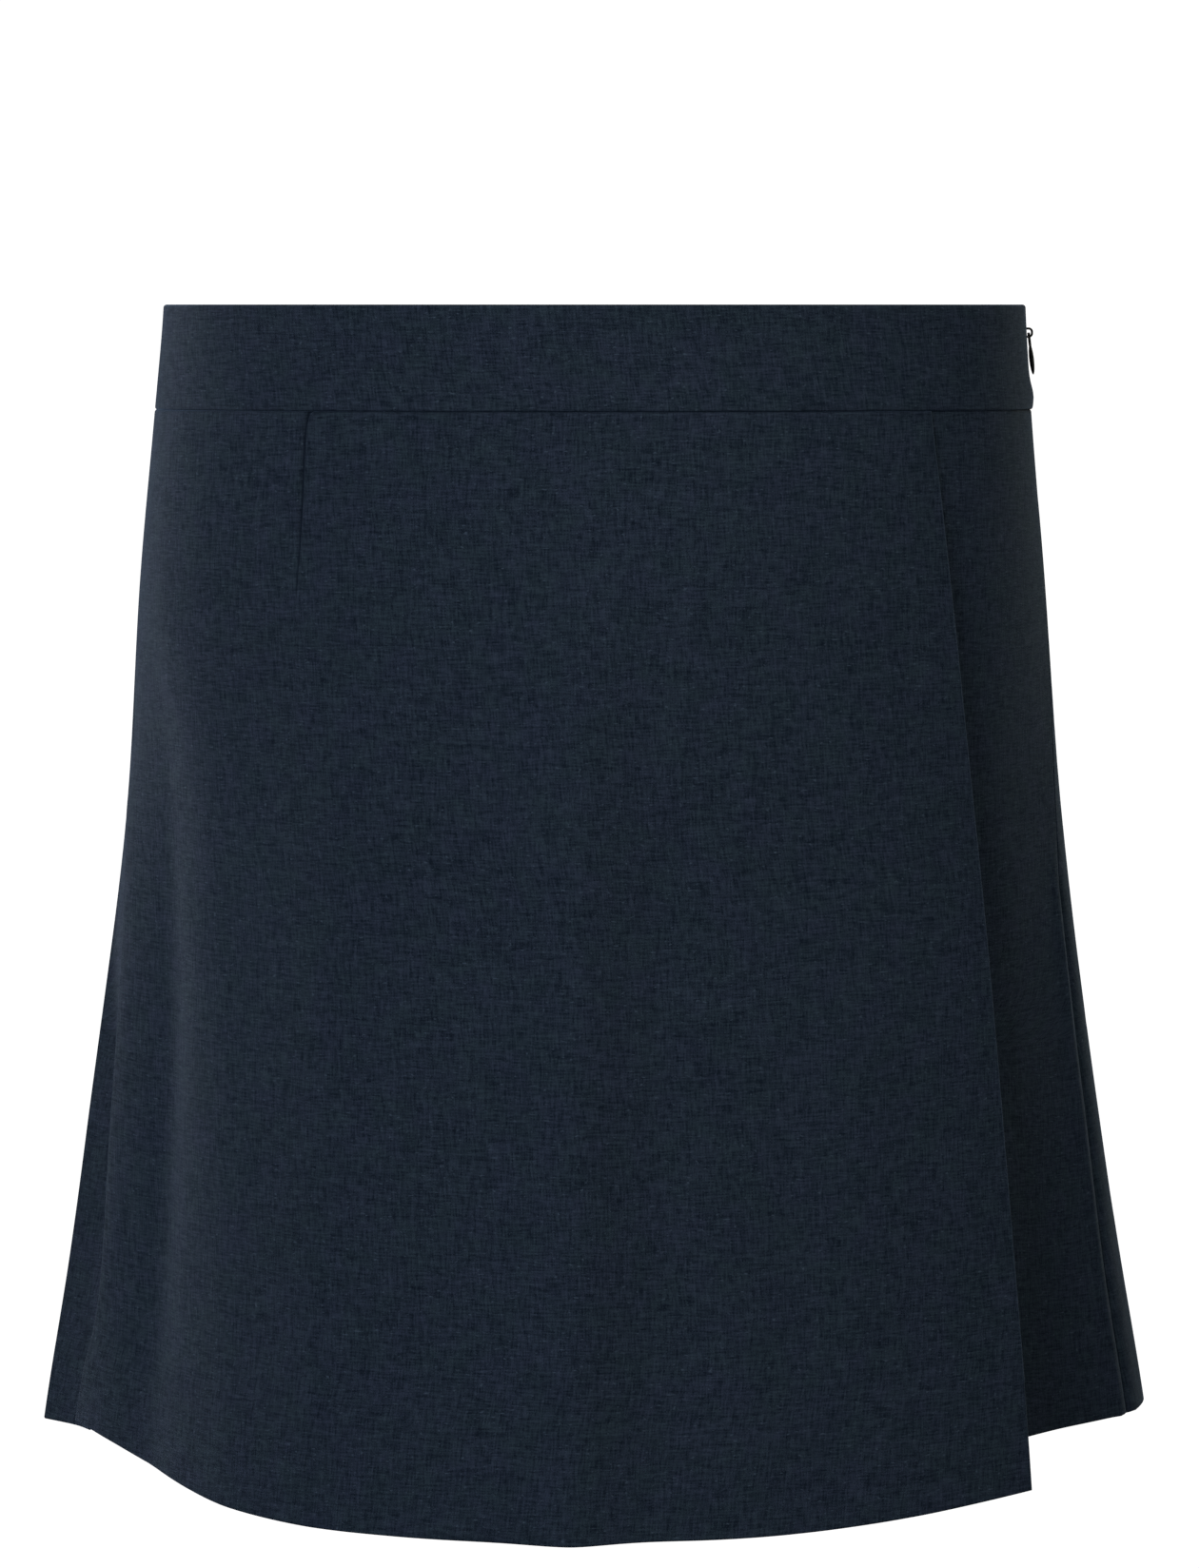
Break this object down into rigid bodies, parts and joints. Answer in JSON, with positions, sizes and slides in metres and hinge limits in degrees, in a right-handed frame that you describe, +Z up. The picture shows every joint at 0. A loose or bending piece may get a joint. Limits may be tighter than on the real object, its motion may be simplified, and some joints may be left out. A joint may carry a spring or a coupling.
{
  "type": "skort",
  "caption": "Wrap-front skort as worn: wide-leg shorts under a free front panel, with a straight waistband, a dart and a side zip",
  "frame": {"origin": "centre of the waist opening, at half the waistband's height, where the wearer's waist holds the skort", "axes": "+Z is up, towards the waist opening; +X is the wearer's left, the zip side; the front, with the wrap panel, faces -Y"},
  "size_m": [0.4057, 0.2882, 0.4205],
  "materials": {
    "navy_suiting": "matte plain-weave suiting, navy with a dark melange",
    "zip_tape": "matte woven tape, dark navy",
    "zip_metal": "satin, dark"
  },
  "bodies": {
    "garment": {"waistband_front": "navy_suiting", "waistband_back": "navy_suiting", "wrap_panel": "navy_suiting", "shorts_front_left": "navy_suiting", "shorts_front_right": "navy_suiting", "shorts_back_left": "navy_suiting", "shorts_back_right": "navy_suiting", "zip_tape": "zip_tape", "zip_slider": "zip_metal"},
    "pull_tab": {"zip_pull_tab": "zip_metal"}
  },
  "joints": [
    {"name": "pull_tab_hinge", "type": "hinge", "parent": "garment", "child": "pull_tab", "pos_m": [0.15734, 0, 0.0085], "axis": [0, -1, 0], "range_deg": [0, 160]}
  ]
}
